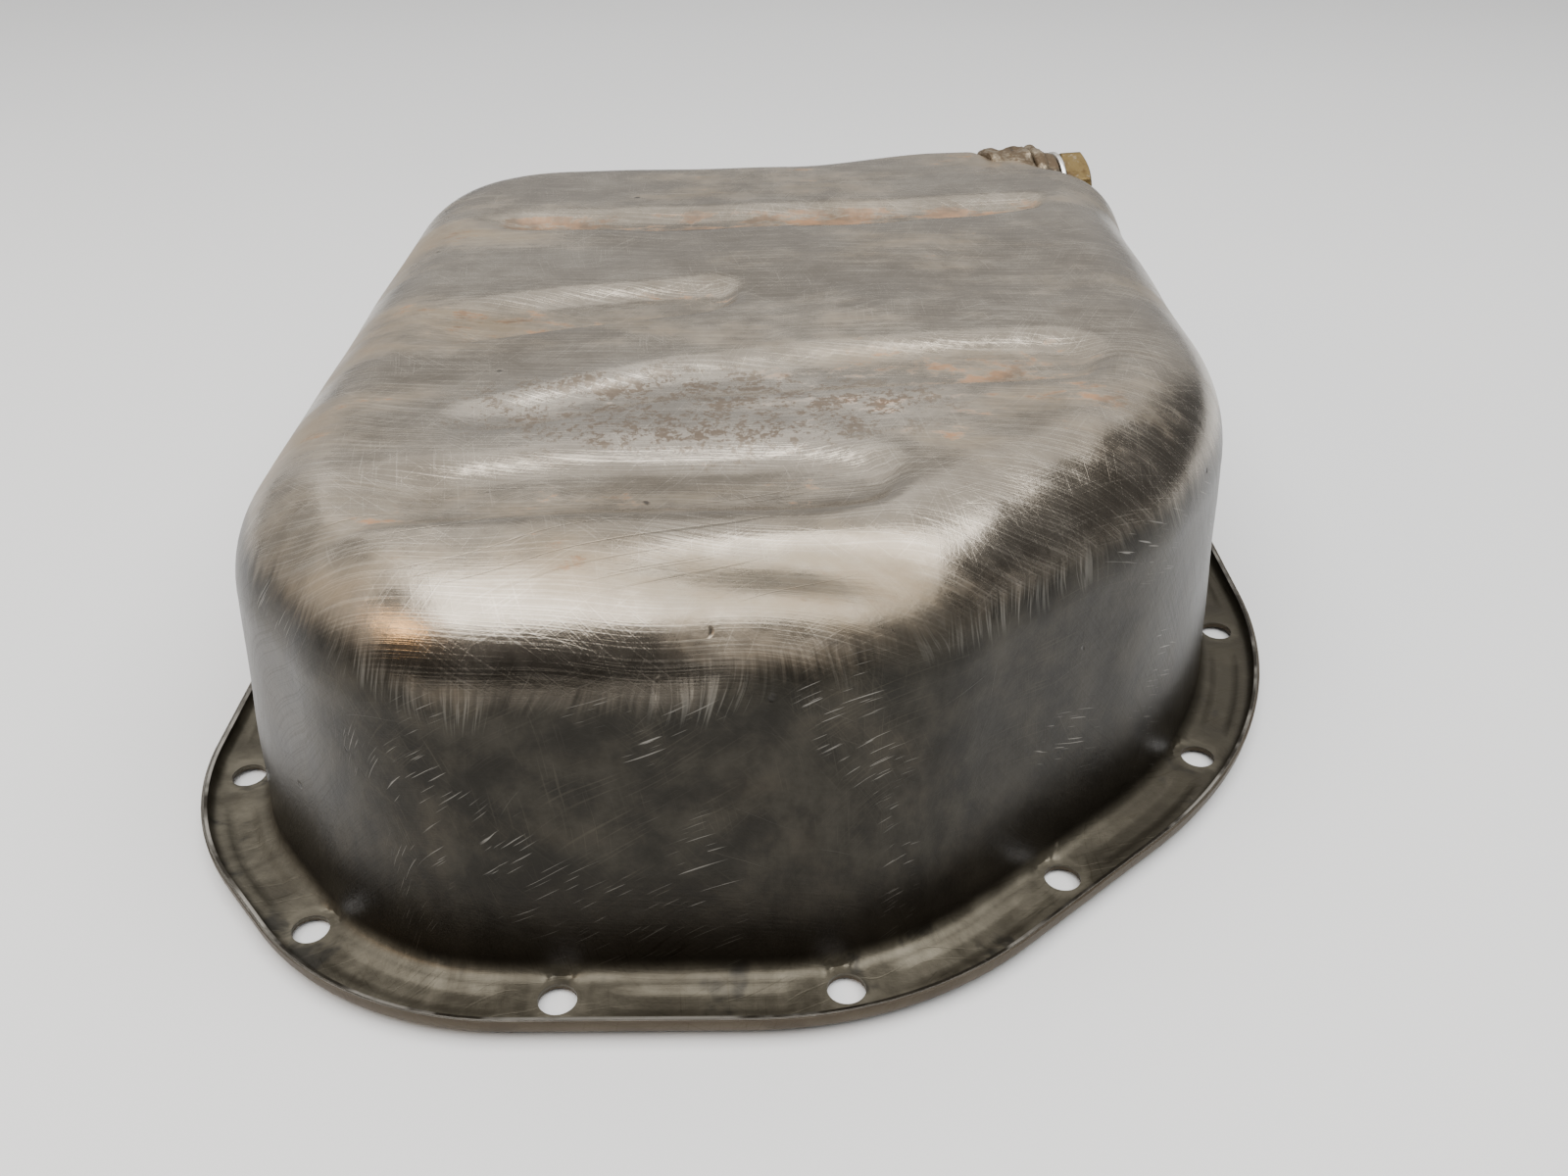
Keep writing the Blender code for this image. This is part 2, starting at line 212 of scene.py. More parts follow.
def shoulder_radius(x, y):
    """24 mm all round, 10 mm along the rear edge over the bung, 19 mm round that corner."""
    pocket = smooth(6, 50, x) * (1 - smooth(60, 70, x)) * (y > 0)
    corner = smooth(60, 70, x) * smooth(68, 92, y)
    return 24.0 - 14.0 * pocket - 5.0 * corner


def groove_depth(x, y):
    """Share of the full groove depth at a place on the sump bottom.

    Each groove is 1 inside its band and falls to 0 over 7 mm: smoothstep of h(x) - d, with h
    the half width and d the distance from the middle line y = m(x), which stops h short of
    both ends. It also fades in over the 22 mm from its left end.
    """
    depth = np.zeros_like(x)
    for groove in GROOVES:
        gx, gy, half = np.array(groove, float).T
        middle = np.interp(x, gx, gy)
        width = np.interp(x, gx, half)
        past_end = np.maximum(np.maximum(gx[0] + half[0] - x, x - gx[-1] + half[-1]), 0)
        away = np.hypot(y - middle, past_end)
        fade = smooth(gx[0], gx[0] + 22, x)
        depth = np.maximum(depth, fade * smooth(-2.5, 4.5, width - away))
    return depth


def ripple(place, seed, waves, low, high, height):
    """Sum of sine waves of random direction: h / sqrt(n) * sum sin(k . p + f), |k| = 2 pi / L."""
    random = np.random.default_rng(seed)
    total = np.zeros(place.shape[:-1])
    for _ in range(waves):
        direction = unit(random.normal(size=3))
        number = 2 * np.pi / random.uniform(low, high)
        total += np.sin(place @ (direction * number) + random.uniform(0, 2 * np.pi))
    return total * height / np.sqrt(waves)


def raised(plan, height):
    """Points from their places in plan and their heights."""
    return np.concatenate([plan, height[..., None]], -1)


# ------------------------------------------------------------------ meshes

def add_mesh(name, points, quads, layers=(), triangles=None, smooth_angle=35.0):
    """One object at the origin from points in mm, with its UV layers given per point."""
    corners = [np.asarray(quads, np.int64).reshape(-1, 4)]
    sizes = [np.full(len(corners[0]), 4)]
    if triangles is not None:
        corners.append(np.asarray(triangles, np.int64).reshape(-1, 3))
        sizes.append(np.full(len(corners[1]), 3))
    loops = np.concatenate([c.ravel() for c in corners])
    sizes = np.concatenate(sizes)
    starts = np.concatenate([[0], np.cumsum(sizes)[:-1]])
    mesh = bpy.data.meshes.new(name)
    mesh.vertices.add(len(points))
    mesh.vertices.foreach_set("co", (np.asarray(points, float) * MM).ravel())
    mesh.loops.add(len(loops))
    mesh.loops.foreach_set("vertex_index", loops.astype(np.int32))
    mesh.polygons.add(len(sizes))
    mesh.polygons.foreach_set("loop_start", starts.astype(np.int32))
    mesh.update(calc_edges=True)
    for layer_name, values in layers:
        layer = mesh.uv_layers.new(name=layer_name)
        layer.uv.foreach_set("vector", values[loops].astype(np.float32).ravel())
    if mesh.validate():
        raise RuntimeError(f"{name}: the mesh had faults")
    mesh.shade_smooth()
    mesh.set_sharp_from_angle(angle=np.radians(smooth_angle))
    piece = bpy.data.objects.new(name, mesh)
    bpy.context.scene.collection.objects.link(piece)
    return piece


def circle(columns):
    """Angles of the columns, once round."""
    return np.arange(columns) * 2 * np.pi / columns


def turned_faces(rows, columns, closed_profile):
    """Quads of a grid whose columns run round; rows run round too on a closed profile."""
    last = rows if closed_profile else rows - 1
    row, column = np.meshgrid(np.arange(last), np.arange(columns), indexing="ij")
    below, beside = (row + 1) % rows, (column + 1) % columns
    return np.stack([row * columns + column, row * columns + beside,
                     below * columns + beside, below * columns + column], -1).reshape(-1, 4)


def pan_columns():
    """Distances of the mesh columns along the bolt line, and each one's step from a hole.

    Fifteen columns NET_STEP apart pass each hole; between holes they are about 3 mm apart.
    The first column is at the rear.
    """
    holes, total = bolt_distances()
    rear = holes[BOLT_COUNT // 2 + 1]
    holes = np.sort((holes - rear) % total) + rear
    ends = np.append(holes[1:], holes[0] + total)
    distance, step, nearest = [], [], []
    steps = np.arange(NET_RINGS + 2)
    for begin, finish in zip(holes, ends):
        place = edge((begin + finish) / 2, BOLT_INSET)[0]
        by_drain = place[0] > 20 and place[1] > 60
        count = 22 if by_drain else 12
        near = NET_STEP * steps
        between = np.linspace(begin + near[-1], finish - near[-1], count + 2)[1:-1]
        distance += [begin + near, between, finish - near[:0:-1]]
        step += [steps, np.full(count, AWAY), -steps[:0:-1]]
        nearest += [np.full(len(steps), begin),
                    np.where(between < (begin + finish) / 2, begin, finish),
                    np.full(len(steps) - 1, finish)]
    return (np.concatenate(distance), np.concatenate(step), np.concatenate(nearest),
            np.diff(holes).mean(), total)


def pan_upper(settings):
    """Upper (outer) face of the pan as a grid of points, rows from the lip to the middle.

    Across the profile: lip, bend, flange with beads and hole pads, foot fillet, drafted wall,
    round shoulder, and a bottom whose rings shrink to its middle.
    """
    distance, step, nearest, pitch, total = pan_columns()
    count = len(distance)
    lip = np.array([(1.2, 5.0), (1.2, 4.5), (1.22, 3.9), (1.3, 3.3), (1.5, 2.75), (1.85, 2.35),
                    (2.35, 2.1)])
    net = np.arange(-NET_RINGS, NET_RINGS + 1)
    fillet = np.array([13.0, 13.3, 13.46])
    inset = np.concatenate([lip[:, 0], BOLT_INSET + NET_STEP * net, fillet])
    row_step = np.concatenate([np.full(len(lip), AWAY), net, np.full(len(fillet), AWAY)])

    # Round each hole the square net is drawn out into circles
    step_c, step_r = np.broadcast_arrays(step[None, :], row_step[:, None])
    reach = np.maximum(np.abs(step_c), np.abs(step_r))
    inside = (reach <= NET_RINGS) & (reach > 0)
    safe = np.where(inside, reach, 1)
    side_on = np.abs(step_c) >= np.abs(step_r)
    corner_share = np.where(side_on, step_r, step_c) / safe * np.pi / 4
    turn = np.where(side_on, np.where(step_c > 0, corner_share, np.pi - corner_share),
                    np.where(step_r > 0, np.pi / 2 - corner_share, corner_share - np.pi / 2))
    ring = HOLE_RADIUS + NET_STEP * (safe - HOLE_RINGS) * 0.95
    ring = np.where(safe < HOLE_RINGS, HOLE_RADIUS * safe / HOLE_RINGS, ring)
    round_net = np.interp(safe, [0, 4, 5, 6, 7], [1, 1, 0.8, 0.4, 0.0])
    along = np.broadcast_to(distance[None, :], inside.shape).copy()
    across = np.broadcast_to(inset[:, None], inside.shape).copy()
    du, dv = NET_STEP * step_c, NET_STEP * step_r
    base = np.broadcast_to(nearest[None, :], inside.shape)
    hole = np.where(inside, ring * np.cos(turn), 0), np.where(inside, ring * np.sin(turn), 0)
    along = np.where(inside, base + du + (hole[0] - du) * round_net, along)
    across = np.where(inside, BOLT_INSET + dv + (hole[1] - dv) * round_net, across)

    # Heights of lip and flange
    to_hole = np.hypot(along - base, across - BOLT_INSET)
    half_pitch = pitch / 2
    past_end = np.maximum(np.abs(half_pitch - np.abs(along - base)) - (half_pitch - 12.0), 0)
    bead = 1 - smooth(1.7, 3.5, np.hypot(past_end, across - 7.3))
    foot = np.clip(across - (WALL_INSET - FOOT_RADIUS), 0, FOOT_RADIUS - 1e-6)
    level = 2.0 - BEAD_DEPTH * bead + FOOT_RADIUS - np.sqrt(FOOT_RADIUS ** 2 - foot ** 2)
    pad = 1 - smooth(5.2, 6.0, to_hole)
    level += (1.86 - level) * pad
    level[:len(lip)] = lip[:, 1][:, None]
    bolt_point, bolt_normal = edge(along.ravel(), BOLT_INSET)
    bolt_point = bolt_point.reshape(*along.shape, 2)
    bolt_normal = bolt_normal.reshape(*along.shape, 2)
    plan = bolt_point - bolt_normal * (across - BOLT_INSET)[..., None]
    flange = raised(plan, level)

    # Wall, shoulder and bottom, column by column
    point, normal = edge(distance, BOLT_INSET)
    rim = point + normal * BOLT_INSET
    foot_point = rim - normal * WALL_INSET
    radius = shoulder_radius(foot_point[:, 0], foot_point[:, 1])
    foot_top = 2.0 + FOOT_RADIUS
    wall_top = bottom_height(foot_point[:, 0]) - radius
    share = np.array([0.02, 0.05, 0.10, 0.17, 0.25, 0.34, 0.43, 0.52, 0.61, 0.70, 0.79, 0.87,
                      0.94])
    wall_z = foot_top + share[:, None] * (wall_top - foot_top)
    draft = np.tan(np.radians(4.0))
    wall_in = WALL_INSET + draft * (wall_z - foot_top)
    turn = np.linspace(0, np.pi / 2, 25)[:, None]
    shoulder_in = WALL_INSET + draft * (wall_top - foot_top) + radius * (1 - np.cos(turn))
    climb_in = np.concatenate([wall_in, shoulder_in])
    climb = rim - normal * climb_in[..., None]
    shoulder_z = bottom_height(climb[len(share):, :, 0]) - radius * (1 - np.sin(turn))
    climb_z = np.concatenate([wall_z, shoulder_z])
    brow = climb[-1]
    middle = np.array((-6.0, 2.0))
    shrink = np.linspace(0, 0.985, BOTTOM_RINGS)[1:, None, None]
    floor = brow + (middle - brow) * shrink
    upper = np.concatenate([flange, raised(climb, climb_z),
                            raised(floor, bottom_height(floor[..., 0]))])

    # Directions of pressing: outwards on the wall, up on the bottom
    up_share = np.concatenate([np.zeros(len(flange)), np.zeros(len(share)),
                               np.sin(turn[:, 0]), np.ones(len(floor))])[:, None]
    facing = np.concatenate([normal[None] * np.sqrt(1 - up_share ** 2)[..., None],
                             np.broadcast_to(up_share, (len(upper), count))[..., None]], -1)
    groove = groove_depth(upper[..., 0], upper[..., 1]) * smooth(0.55, 1.0, up_share)
    clear = smooth(8, 25, upper[..., 2])
    upper[..., 2] -= settings.groove_depth / MM * groove
    wave = ripple(upper, 4, 14, 22.0, 60.0, settings.ripple / MM)
    upper += facing * (clear * wave)[..., None]
    upper[..., 2] += up_share * front_dents(upper)
    upper = open_recess(upper, facing)
    return upper, across, to_hole, pad, groove, (distance - distance[0]) / total


def front_dents(place):
    """Shallow presses of the sheet, in mm: each is a Gaussian h exp(-(d/w)^2) in X and Y."""
    x, y = place[..., 0], place[..., 1]
    total = np.zeros_like(x)
    for cx, cy, height, wide, deep in DENTS:
        total += height * np.exp(-((x - cx) / wide) ** 2 - ((y - cy) / deep) ** 2)
    return total


def recess_gap(place):
    """Signed distance to the recess, a corner block with rounded edges: negative inside it."""
    local = (place - SEAT) @ DRAIN_AXES.T
    low = np.array((-RECESS_DEPTH, -RECESS_SIDE, -RECESS_SIDE))
    q = low - local + RECESS_ROUNDING
    return (np.linalg.norm(np.maximum(q, 0), axis=-1) + np.minimum(q.max(-1), 0)
            - RECESS_ROUNDING)


def open_recess(upper, facing):
    """Draws the rear right corner back to the recess, with a rounded mouth.

    Each point slides along the line from a place inside the pan to itself, to where the
    smooth minimum of its distances to the pan's own surface and to the recess is nought.
    """
    zone = (upper[..., 0] > 45) & (upper[..., 1] > 60) & (upper[..., 2] > 25)
    target = upper[zone]
    inside = SEAT + np.array((-30.0, -40.0, -40.0)) @ DRAIN_AXES
    line = target - inside
    depth = np.abs((line * facing[zone]).sum(-1))
    blend = 9.0
    low, high = np.zeros(len(target)), np.ones(len(target))
    for _ in range(HALVINGS):
        share = (low + high) / 2
        own = (1 - share) * depth
        gap = recess_gap(inside + share[:, None] * line)
        overlap = np.maximum(blend - np.abs(own - gap), 0) / blend
        within = np.minimum(own, gap) - overlap ** 2 * blend / 4 > 0
        low = np.where(within, share, low)
        high = np.where(within, high, share)
    untouched = recess_gap(target) > blend
    share = np.where(untouched, 1.0, high)
    result = upper.copy()
    result[zone] = inside + share[:, None] * line
    return result


def grid_normals(grid):
    """Unit normals of a grid that runs round in its columns: d/dcolumn x d/drow."""
    round_way = np.roll(grid, -1, axis=1) - np.roll(grid, 1, axis=1)
    inwards = np.gradient(grid, axis=0)
    return unit(np.cross(round_way, inwards))


def pan_shell(settings):
    """The whole sheet: the upper face, its offset by the sheet's thickness, and their joins."""
    upper, across, to_hole, pad, groove, share = pan_upper(settings)
    rows, columns = upper.shape[:2]
    sheet = settings.sheet / MM
    lower = upper - sheet * grid_normals(upper)

    # Cells inside a flange hole or the drain's opening are left out
    cell_row, cell_column = np.meshgrid(np.arange(rows - 1), np.arange(columns), indexing="ij")
    beside = (cell_column + 1) % columns
    centre = (upper[:-1] + upper[1:] + np.roll(upper, -1, 1)[:-1] + np.roll(upper, -1, 1)[1:]) / 4
    flange_rows = across.shape[0]
    hole_cell = np.zeros(cell_row.shape, bool)
    near = np.minimum(to_hole, np.roll(to_hole, -1, 1))
    hole_cell[:flange_rows - 1] = (near[:-1] + near[1:]) / 2 < 3.2
    local = (centre - SEAT) @ DRAIN_AXES.T
    off_axis = np.hypot(local[..., 1], local[..., 2])
    hole_cell |= (off_axis < 9.5) & (np.abs(local[..., 0] + RECESS_DEPTH) < 3)
    keep = ~hole_cell

    def index(row, column):
        return row * columns + column % columns

    size = rows * columns
    a, b = index(cell_row, cell_column), index(cell_row, beside)
    c, d = index(cell_row + 1, beside), index(cell_row + 1, cell_column)
    quads = [np.stack([a, b, c, d], -1)[keep], np.stack([d, c, b, a], -1)[keep] + size]

    # Walls of the openings, where a kept cell meets a removed one
    right = np.roll(keep, -1, axis=1)
    for here, beyond, start, end in ((keep, right, c, b), (keep[:-1], keep[1:], d[:-1], c[:-1])):
        for first, second, way in ((here, beyond, 1), (beyond, here, -1)):
            at = first & ~second
            wall = np.stack([start[at], end[at], end[at] + size, start[at] + size], -1)
            quads.append(wall[:, ::way])

    # Sheared lip: one row between the two edges, bowed out a little
    column = np.arange(columns)
    bow = (upper[0] + lower[0]) / 2 + np.array((0.0, 0.0, 0.12))
    ridge = 2 * size + column
    following = (column + 1) % columns
    quads.append(np.stack([column, ridge, 2 * size + following, following], -1))
    quads.append(np.stack([ridge, size + column, size + following, 2 * size + following], -1))
    tip = 2 * size + columns
    last = (rows - 1) * columns
    fans = np.concatenate([
        np.stack([last + column, last + following, np.full(columns, tip)], -1),
        np.stack([size + last + following, size + last + column,
                  np.full(columns, tip + 1)], -1)])
    points = np.concatenate([upper.reshape(-1, 3), lower.reshape(-1, 3), bow,
                             upper[-1].mean(0)[None], lower[-1].mean(0)[None]])

    # Skin: the sheet laid flat, from the bottom outwards, so that strokes run over the bends
    run = np.concatenate([np.zeros((1, columns)),
                          np.cumsum(np.linalg.norm(np.diff(upper, axis=0), axis=-1), axis=0)])
    brow = rows - BOTTOM_RINGS
    outwards = unit(upper[0, :, :2] - upper[brow, :, :2])
    beyond = np.maximum(run[brow] - run, 0)
    flat = np.where((run < run[brow])[..., None],
                    upper[brow, :, :2] + outwards * beyond[..., None], upper[..., :2])
    pads = np.zeros((rows, columns))
    pads[:flange_rows] = pad
    ledge = np.stack([groove, pads], -1)

    def both_faces(outer, inner):
        return np.concatenate([outer.reshape(-1, 2), inner.reshape(-1, 2), outer[0],
                               outer[-1].mean(0)[None], inner[-1].mean(0)[None]])

    skin = both_faces(flat, flat + np.array((600.0, 0.0))) * MM
    marks = np.concatenate([ledge.reshape(-1, 2), np.zeros((size, 2)), ledge[0],
                            np.zeros((2, 2))])
    # Fall: distance round the pan from the middle of the front, and down from the bottom
    around = np.broadcast_to(np.abs(share - 0.5) * outline(BOLT_INSET)[-1][-1], run.shape)
    fall = np.stack([around, run], -1)
    fall = both_faces(fall, fall) * MM
    return add_mesh("pan_sheet", points, np.concatenate(quads),
                    (("skin", skin), ("marks", marks), ("fall", fall)), fans, 42.0)


def turned_grid(r, h):
    """Grid of points about the drain axis: S + h a + r (b cos f + c sin f).

    a points out of the pan, b to the rear and c up; f runs once round over the columns.
    """
    r, h = np.broadcast_arrays(r, h)
    angle = circle(r.shape[1])
    out, rear, up = DRAIN_AXES
    around = np.cos(angle)[:, None] * rear + np.sin(angle)[:, None] * up
    return SEAT + h[..., None] * out + r[..., None] * around


def turned_piece(name, r, h, closed_profile, angle=35.0):
    """A turned grid as an object; an open profile starts and ends on the axis."""
    grid = turned_grid(r, h)
    rows, columns = grid.shape[:2]
    quads = turned_faces(rows, columns, closed_profile)
    if closed_profile:
        return add_mesh(name, grid.reshape(-1, 3), quads, (), None, angle)
    column = np.arange(columns)
    following = (column + 1) % columns
    last = (rows - 1) * columns
    size = rows * columns
    fans = np.concatenate([
        np.stack([following, column, np.full(columns, size)], -1),
        np.stack([last + column, last + following, np.full(columns, size + 1)], -1)])
    points = np.concatenate([grid.reshape(-1, 3), grid[0].mean(0)[None], grid[-1].mean(0)[None]])
    return add_mesh(name, points, quads, (), fans, angle)


def thread_wave(h, angle, pitch):
    """Trapezoid thread form, 0 at the root and 1 at the crest, on a right-hand helix.

    The phase is h / pitch - f / (2 pi).
    """
    phase = (h / pitch - angle / (2 * np.pi)) % 1.0
    return np.clip(1.5 - np.abs(phase - 0.5) * 4.4, 0, 1)


def bung_surface(settings):
    """Steel boss: body, collar, faces and a threaded bore; its body is lumpy with braze.

    The body's radius is 13 + n1 + n2, with n1 and n2 sine ripples.
    """
    columns = 128
    body_h = np.linspace(-20.4, -8.6, 22)
    collar_h = np.linspace(-7.4, -0.7, 8)
    bore_h = np.arange(-0.7, -20.4, -THREAD_PITCH / 8)
    h = np.concatenate([[-21, -21, -21], body_h, [-7.9], collar_h, [-0.25, 0, 0, 0, -0.35],
                        bore_h, [-20.7]])
    r = np.concatenate([[7.7, 10.0, 12.5], np.full(len(body_h), 13.0), [12.3],
                        np.full(len(collar_h), 10.8), [10.65, 10.2, 9.0, 7.9, 7.4],
                        np.full(len(bore_h), 7.0), [7.4]])
    height, turn = np.meshgrid(h, circle(columns), indexing="ij")
    radius = np.repeat(r[:, None], columns, axis=1)
    place = np.stack([height, 13 * np.cos(turn), 13 * np.sin(turn)], -1)
    lump = ripple(place, 11, 12, 5.0, 11.0, 0.42) + ripple(place, 12, 12, 2.2, 4.0, 0.16)
    on_body = (r > 12) & (h < -7)
    radius += np.where(on_body[:, None], lump, 0.0)
    in_bore = np.zeros(len(h), bool)
    in_bore[-1 - len(bore_h):-1] = True
    cut = 0.55 * (1 - thread_wave(height, turn, settings.thread_pitch / MM))
    radius += np.where(in_bore[:, None] & (height > -20.0) & (height < -0.9), cut, 0.0)
    return turned_piece("drain_bung_brazed", radius, height, True)


def braze_bead():
    """Bead of braze round the collar: a ring of radius 11.5 whose section ripples in size."""
    columns, rows = 144, 20
    section, turn = np.meshgrid(circle(rows), circle(columns), indexing="ij")
    place = np.stack([3 * np.cos(section), 12 * np.cos(turn), 12 * np.sin(turn)], -1)
    size = 1.75 + ripple(place, 21, 10, 4.0, 9.0, 0.28) + ripple(place, 22, 10, 1.5, 3.0, 0.1)
    return turned_piece("braze_bead", 11.5 + size * np.sin(section),
                        -5.7 - 1.15 * size * np.cos(section), True, 60.0)


def washer_surface():
    """Flat ring with rounded rims, pressed a little thinner under the head."""
    turn = np.linspace(-np.pi / 2, np.pi / 2, 7)
    outer_r, outer_h = 10.6 + 0.4 * np.cos(turn), 1.05 + 0.75 * np.sin(turn)
    inner_r, inner_h = 7.6 - 0.3 * np.cos(turn), 1.05 - 0.75 * np.sin(turn)
    r = np.concatenate([[8.2, 9.6], outer_r, [10.0, 9.5, 8.2], inner_r])
    h = np.concatenate([[0.3, 0.3], outer_h, [1.8, 1.76, 1.76], inner_h])
    columns = 128
    return turned_piece("sealing_washer_ring", np.repeat(r[:, None], columns, 1),
                        np.repeat(h[:, None], columns, 1), True, 30.0)


def plug_surface(settings):
    """Drain plug: chamfered tip, rolled thread, neck, and a hexagon head chamfered both sides.

    The head's radius is A / (2 cos((f + 30) mod 60 - 30 degrees)) for a width A across flats,
    so one corner points up, and a cone at 30 degrees cuts the corners.
    """
    columns = 192
    angle = circle(columns)
    base = 2.1
    top = base + 8.0
    tip = base - 16.0
    flats = settings.plug_flats / MM / 2
    hexagon = flats / np.cos((angle + np.pi / 6) % (np.pi / 3) - np.pi / 6)
    hexagon = np.minimum(hexagon, flats * 1.142)
    thread_h = np.arange(tip + 1.3, base - 1.9, THREAD_PITCH / 9)
    height, turn = np.meshgrid(thread_h, angle, indexing="ij")
    fade = smooth(tip + 1.0, tip + 2.6, height) * (1 - smooth(base - 3.2, base - 2.0, height))
    thread = 5.95 + 0.88 * thread_wave(height, turn, settings.thread_pitch / MM) * fade
    low_edge = base + np.maximum(hexagon - 9.4, 0) * 0.45
    high_edge = top - np.maximum(hexagon - 8.7, 0) * 0.577
    rows = [(2.0, tip), (4.6, tip), (5.1, tip + 0.15), (5.8, tip + 0.95)]
    rows += list(zip(thread, height))
    rows += [(5.9, base - 1.2), (6.0, base - 0.35), (6.35, base), (9.2, base),
             (hexagon - 0.12, low_edge - 0.03), (hexagon, low_edge + 0.12)]
    rows += [(hexagon, low_edge + (high_edge - low_edge) * t) for t in (0.25, 0.5, 0.75)]
    rows += [(hexagon, high_edge - 0.16), (hexagon - 0.14, high_edge + 0.03),
             ((hexagon + 8.7) / 2, (high_edge + top) / 2), (8.75, top - 0.03), (8.5, top),
             (6.0, top), (3.0, top - 0.05)]
    r, h = (np.array([np.broadcast_to(row[i], columns) for row in rows]) for i in (0, 1))
    return turned_piece("drain_plug_hexagon", r, h, False, 28.0)


# ------------------------------------------------------------------ shader nodes

class Value:
    """A shader socket that takes part in sums: every operator adds one Math node."""

    def __init__(self, graph, socket):
        self.graph = graph
        self.socket = socket

    def _math(self, operation, first, second=None):
        sockets = {0: first} if second is None else {0: first, 1: second}
        return self.graph.node("ShaderNodeMath", {"operation": operation}, sockets)

    def __add__(self, other):
        return self._math("ADD", self, other)

    __radd__ = __add__

    def __sub__(self, other):
        return self._math("SUBTRACT", self, other)

    def __rsub__(self, other):
        return self._math("SUBTRACT", other, self)

    def __mul__(self, other):
        return self._math("MULTIPLY", self, other)

    __rmul__ = __mul__

    def __pow__(self, other):
        return self._math("POWER", self, other)

    def clamp(self):
        return self.graph.node("ShaderNodeClamp", {}, {0: self})

    def larger(self, other):
        return self._math("MAXIMUM", self, other)

    def magnitude(self):
        return self._math("ABSOLUTE", self)


class Graph:
    """The node tree of one material, with one method that adds any node."""

    def __init__(self, name, metallic, roughness):
        self.material = bpy.data.materials.new(name)
        self.material.use_nodes = True
        self.tree = self.material.node_tree
        self.shader = self.tree.nodes["Principled BSDF"]
        self.shader.inputs["Metallic"].default_value = metallic
        self.shader.inputs["Roughness"].default_value = roughness

    def join(self, socket, value):
        if isinstance(value, Value):
            self.tree.links.new(value.socket, socket)
        elif socket.type == "RGBA":
            socket.default_value = (*value, 1.0)
        else:
            socket.default_value = value

    def node(self, kind, settings, sockets, output=0):
        made = self.tree.nodes.new(kind)
        for key, value in settings.items():
            setattr(made, key, value)
        for key, value in sockets.items():
            self.join(made.inputs[key], value)
        return Value(self, made.outputs[output])

    def set(self, name, value):
        self.join(self.shader.inputs[name], value)

    def place(self):
        return self.node("ShaderNodeTexCoord", {}, {}, "Object")

    def facing(self):
        return self.node("ShaderNodeTexCoord", {}, {}, "Normal")

    def map(self, name):
        return self.node("ShaderNodeUVMap", {"uv_map": name}, {})

    def parts(self, vector):
        made = self.tree.nodes.new("ShaderNodeSeparateXYZ")
        self.join(made.inputs[0], vector)
        return [Value(self, made.outputs[i]) for i in range(3)]

    def noise(self, vector, scale, detail=2.0, rough=0.5, bend=0.0, output=0):
        return self.node("ShaderNodeTexNoise", {},
                         {"Vector": vector, "Scale": scale, "Detail": detail,
                          "Roughness": rough, "Distortion": bend}, output)

    def turned(self, vector, angle, scale, shift=(0.0, 0.0, 0.0)):
        """Turns the pattern's coordinates, then stretches them."""
        first = self.node("ShaderNodeMapping", {"vector_type": "POINT"},
                          {"Vector": vector, "Rotation": (0.0, 0.0, np.radians(angle)),
                           "Location": shift})
        return self.node("ShaderNodeMapping", {"vector_type": "POINT"},
                         {"Vector": first, "Scale": scale})

    def band(self, value, low, high):
        """0 below low, 1 above high, smooth between."""
        return self.node("ShaderNodeMapRange", {"interpolation_type": "SMOOTHSTEP"},
                         {"Value": value, "From Min": low, "From Max": high})

    def mix(self, first, second, share):
        return self.node("ShaderNodeMix", {"data_type": "RGBA"},
                         {0: share, 6: first, 7: second}, 2)

    def strokes(self, vector, angle, length, width, cover, shift):
        """Fine parallel strokes: noise drawn out along one direction, and its thin peaks."""
        drawn = self.turned(vector, angle, (1.0 / length, 1.0 / width, 1.0), shift)
        line = self.noise(drawn, 1.0, 2.0, 0.55)
        return self.band(line, 1.0 - cover, 1.12 - cover)

    def bump(self, height, depth, strength=1.0, under=None):
        sockets = {"Height": height, "Distance": depth, "Strength": strength}
        if under is not None:
            sockets["Normal"] = under
        return self.node("ShaderNodeBump", {}, sockets)


